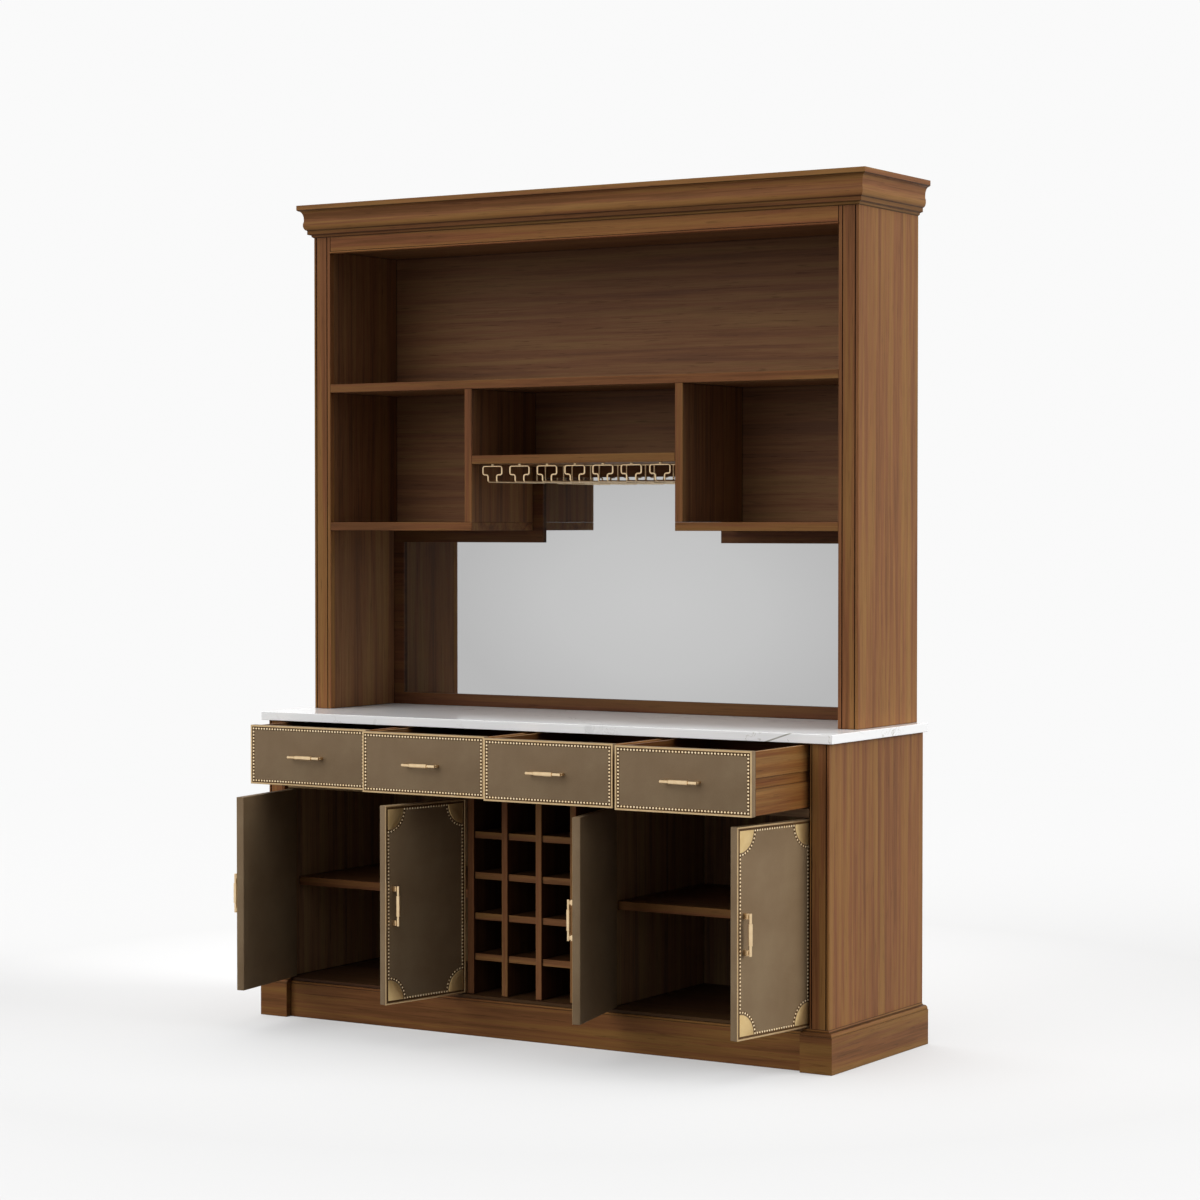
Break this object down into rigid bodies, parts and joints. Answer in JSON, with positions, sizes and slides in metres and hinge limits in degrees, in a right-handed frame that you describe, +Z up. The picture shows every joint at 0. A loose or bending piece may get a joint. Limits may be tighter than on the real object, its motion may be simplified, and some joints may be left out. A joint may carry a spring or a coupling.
{
  "type": "wine bar cabinet",
  "caption": "Wide two-part bar cabinet: open mirrored hutch with a glass rack over a marble-topped base with leather-faced drawers, cupboard doors and a bottle rack.",
  "frame": {"origin": "on the floor, under the middle of the plinth's centre bearer", "axes": "+Z up, +X to the right when one faces the doors, and -Y out of the front"},
  "size_m": [1.9066, 0.8934, 2.41],
  "materials": {
    "walnut": "satin lacquer",
    "drawer_wood": "satin lacquer",
    "taupe_leather": "lightly mottled taupe leather",
    "brass": "polished warm brass",
    "white_marble": "polished white marble with faint grey veins",
    "mirror_glass": "silvered mirror glass"
  },
  "bodies": {
    "cabinet": {"plinth": "walnut", "base_side_left": "walnut", "base_side_right": "walnut", "base_lining_left": "walnut", "base_lining_right": "walnut", "base_back": "walnut", "base_floor": "walnut", "drawer_deck": "walnut", "drawer_partition_1": "walnut", "drawer_partition_2": "walnut", "drawer_partition_3": "walnut", "shelf_left": "walnut", "shelf_right": "walnut", "wine_partition_left": "walnut", "wine_partition_right": "walnut", "wine_upright_1": "walnut", "wine_upright_2": "walnut", "wine_upright_3": "walnut", "wine_shelf_1": "walnut", "wine_shelf_2": "walnut", "wine_shelf_3": "walnut", "wine_shelf_4": "walnut", "marble_top": "white_marble", "hutch_side_left": "walnut", "hutch_side_right": "walnut", "hutch_lining_left": "walnut", "hutch_lining_right": "walnut", "hutch_back": "walnut", "hutch_ceiling": "walnut", "frieze_rail": "walnut", "cornice": "walnut", "long_shelf": "walnut", "centre_shelf": "walnut", "cubby_shelf_left": "walnut", "cubby_shelf_right": "walnut", "cubby_divider_left": "walnut", "cubby_divider_right": "walnut", "mirror_frame": "walnut", "mirror": "mirror_glass", "stemware_rack": "brass"},
    "drawer_1": {"drawer_1_front": "taupe_leather", "drawer_1_box": "drawer_wood", "drawer_1_handle": "brass"},
    "drawer_2": {"drawer_2_front": "taupe_leather", "drawer_2_box": "drawer_wood", "drawer_2_handle": "brass"},
    "drawer_3": {"drawer_3_front": "taupe_leather", "drawer_3_box": "drawer_wood", "drawer_3_handle": "brass"},
    "drawer_4": {"drawer_4_front": "taupe_leather", "drawer_4_box": "drawer_wood", "drawer_4_handle": "brass"},
    "door_1": {"door_1_leaf": "taupe_leather", "door_1_handle": "brass"},
    "door_2": {"door_2_leaf": "taupe_leather", "door_2_handle": "brass"},
    "door_3": {"door_3_leaf": "taupe_leather", "door_3_handle": "brass"},
    "door_4": {"door_4_leaf": "taupe_leather", "door_4_handle": "brass"}
  },
  "joints": [
    {"name": "drawer_1_slide", "type": "slide", "parent": "cabinet", "child": "drawer_1", "axis": [0, -1, 0], "range_m": [-0.175, 0.225]},
    {"name": "drawer_2_slide", "type": "slide", "parent": "cabinet", "child": "drawer_2", "axis": [0, -1, 0], "range_m": [-0.2285, 0.1715]},
    {"name": "drawer_3_slide", "type": "slide", "parent": "cabinet", "child": "drawer_3", "axis": [0, -1, 0], "range_m": [-0.273, 0.127]},
    {"name": "drawer_4_slide", "type": "slide", "parent": "cabinet", "child": "drawer_4", "axis": [0, -1, 0], "range_m": [-0.308, 0.092]},
    {"name": "door_1_hinge", "type": "hinge", "parent": "cabinet", "child": "door_1", "pos_m": [-0.862, -0.25875, 0.4], "axis": [0, 0, -1], "range_deg": [-81.6, 23.4]},
    {"name": "door_2_hinge", "type": "hinge", "parent": "cabinet", "child": "door_2", "pos_m": [-0.25, -0.25875, 0.4], "axis": [0, 0, 1], "range_deg": [-78.4, 26.6]},
    {"name": "door_3_hinge", "type": "hinge", "parent": "cabinet", "child": "door_3", "pos_m": [0.25, -0.25875, 0.4], "axis": [0, 0, -1], "range_deg": [-76.8, 28.2]},
    {"name": "door_4_hinge", "type": "hinge", "parent": "cabinet", "child": "door_4", "pos_m": [0.862, -0.25875, 0.4], "axis": [0, 0, 1], "range_deg": [-80, 25]}
  ]
}
